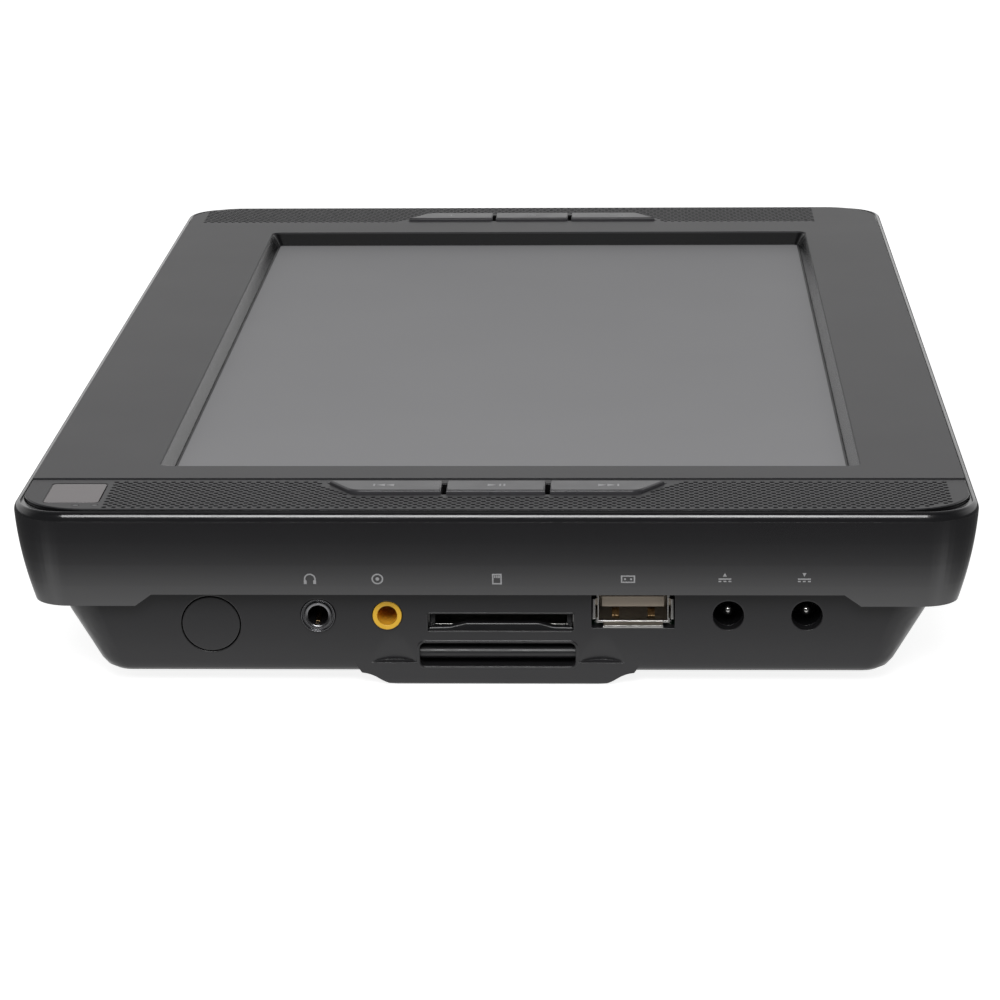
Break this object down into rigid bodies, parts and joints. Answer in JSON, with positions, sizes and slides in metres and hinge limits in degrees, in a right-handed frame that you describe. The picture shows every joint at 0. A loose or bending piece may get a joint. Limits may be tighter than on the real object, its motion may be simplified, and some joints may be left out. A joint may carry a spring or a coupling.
{
  "type": "dual-screen car dvd player",
  "caption": "Portable car disc player lying on its back: framed screen with key and speaker strips, clamshell lid over a disc deck, strap slots and a row of sockets.",
  "frame": {"origin": "centre of the unit's footprint, on the flats of its two strap bosses", "axes": "+X to the lid-hinge side, +Y from the sockets to the other end, +Z out of the screen"},
  "size_m": [0.1729, 0.2912, 0.0355],
  "materials": {
    "base_plastic": "satin moulded, fine texture",
    "jack_plastic": "moulded",
    "jack_ring": "dark chrome",
    "av_yellow": "moulded yellow",
    "plated": "nickel plated",
    "tongue": "cream",
    "strap_bar": "black lacquered steel",
    "steel": "ground",
    "chassis": "stamped, plated",
    "damper_rubber": "soft",
    "windings": "copper windings on a laminated core",
    "motor_can": "drawn",
    "skirt": "satin moulded, fine texture",
    "rim_trim": "polished black",
    "top_plates": "satin",
    "screen_glass": "dark, semi-gloss screen, switched off",
    "module_tray": "folded sheet",
    "light_guide": "clear acrylic",
    "inner_plastic": "moulded black",
    "screws": "blackened steel",
    "magnet": "nickel plated",
    "infrared_window": "smoked, faintly red",
    "light_guide_pips": "frosted",
    "boards": "printed board",
    "chips": "moulded",
    "speaker_frame": "pressed",
    "speaker_cone": "paper",
    "switch_body": "moulded",
    "keys": "satin top, bright edge",
    "knobs": "satin",
    "rotor": "drawn",
    "turntable_plastic": "moulded",
    "sled": "die cast",
    "lens_guard": "moulded",
    "lens": "coated",
    "follower": "white nylon"
  },
  "bodies": {
    "base": {"base_shell": "base_plastic", "deck_plate": "inner_plastic", "main_board": "boards", "board_components": "chips", "headphone_jack": "jack_plastic", "headphone_ring": "jack_ring", "av_jack": "av_yellow", "card_cage": "plated", "usb_shell": "plated", "usb_tongue": "tongue", "dc_jacks": "jack_plastic", "dc_pins": "plated", "blanking_plug": "base_plastic", "strap_bars": "strap_bar", "case_screws": "screws", "hinge_pins": "steel", "loader_chassis": "chassis", "dampers": "damper_rubber", "damper_screws": "screws", "spindle_base": "chassis", "stator_core": "windings", "guide_rods": "steel", "leadscrew_bracket": "chassis", "sled_motor": "motor_can"},
    "lid": {"lid_shell": "skirt", "rim_trim": "rim_trim", "screen_bezel": "top_plates", "near_grille": "top_plates", "far_grille": "top_plates", "screen_glass": "screen_glass", "screen_frame": "module_tray", "light_guide": "light_guide", "lid_inner_cover": "inner_plastic", "lid_screws": "screws", "lid_magnet": "magnet", "infrared_window": "infrared_window", "indicator_pips": "light_guide_pips", "key_boards": "boards", "key_board_parts": "chips", "speakers": "speaker_frame", "speaker_cones": "speaker_cone", "screen_board": "boards", "screen_board_parts": "chips", "power_switch_body": "switch_body"},
    "previous_key": {"previous_key": "keys"},
    "play_key": {"play_key": "keys"},
    "next_key": {"next_key": "keys"},
    "volume_down_key": {"volume_down_key": "keys"},
    "menu_key": {"menu_key": "keys"},
    "volume_up_key": {"volume_up_key": "keys"},
    "power_knob": {"power_knob": "knobs"},
    "lid_lock": {"lid_lock": "knobs"},
    "turntable": {"spindle_rotor": "rotor", "turntable": "turntable_plastic", "chuck_claws": "turntable_plastic"},
    "sled": {"pickup_sled": "sled", "lens_guard": "lens_guard", "objective_lens": "lens", "sled_follower": "follower"},
    "leadscrew": {"leadscrew": "steel"}
  },
  "joints": [
    {"name": "lid_hinge", "type": "hinge", "parent": "base", "child": "lid", "pos_m": [0.07864, 0, 0.0156], "axis": [0, 1, 0], "range_deg": [0, 75]},
    {"name": "previous_key_press", "type": "slide", "parent": "lid", "child": "previous_key", "axis": [0, 0, -1], "range_m": [0, 0.0007], "stiffness_N_per_m": 1800, "springref_m": -0.0003},
    {"name": "play_key_press", "type": "slide", "parent": "lid", "child": "play_key", "axis": [0, 0, -1], "range_m": [0, 0.0007], "stiffness_N_per_m": 1800, "springref_m": -0.0003},
    {"name": "next_key_press", "type": "slide", "parent": "lid", "child": "next_key", "axis": [0, 0, -1], "range_m": [0, 0.0007], "stiffness_N_per_m": 1800, "springref_m": -0.0003},
    {"name": "volume_down_key_press", "type": "slide", "parent": "lid", "child": "volume_down_key", "axis": [0, 0, -1], "range_m": [0, 0.0007], "stiffness_N_per_m": 1800, "springref_m": -0.0003},
    {"name": "menu_key_press", "type": "slide", "parent": "lid", "child": "menu_key", "axis": [0, 0, -1], "range_m": [0, 0.0007], "stiffness_N_per_m": 1800, "springref_m": -0.0003},
    {"name": "volume_up_key_press", "type": "slide", "parent": "lid", "child": "volume_up_key", "axis": [0, 0, -1], "range_m": [0, 0.0007], "stiffness_N_per_m": 1800, "springref_m": -0.0003},
    {"name": "power_switch_slide", "type": "slide", "parent": "lid", "child": "power_knob", "axis": [0, 1, 0], "range_m": [0, 0.003]},
    {"name": "lid_lock_slide", "type": "slide", "parent": "lid", "child": "lid_lock", "axis": [0, 1, 0], "range_m": [0, 0.004]},
    {"name": "spindle_spin", "type": "hinge", "parent": "base", "child": "turntable", "pos_m": [0, 0, 0.01], "axis": [0, 0, 1], "continuous": true},
    {"name": "sled_slide", "type": "slide", "parent": "base", "child": "sled", "axis": [0, 1, 0], "range_m": [0, 0.033]},
    {"name": "leadscrew_spin", "type": "hinge", "parent": "base", "child": "leadscrew", "pos_m": [0.0264, 0.046, 0.01], "axis": [0, 1, 0], "range_deg": [-10, 3970]}
  ],
  "couplings": [
    {"joint": "leadscrew_spin", "follows": "sled_slide", "rad_per_m": 2094.4}
  ]
}
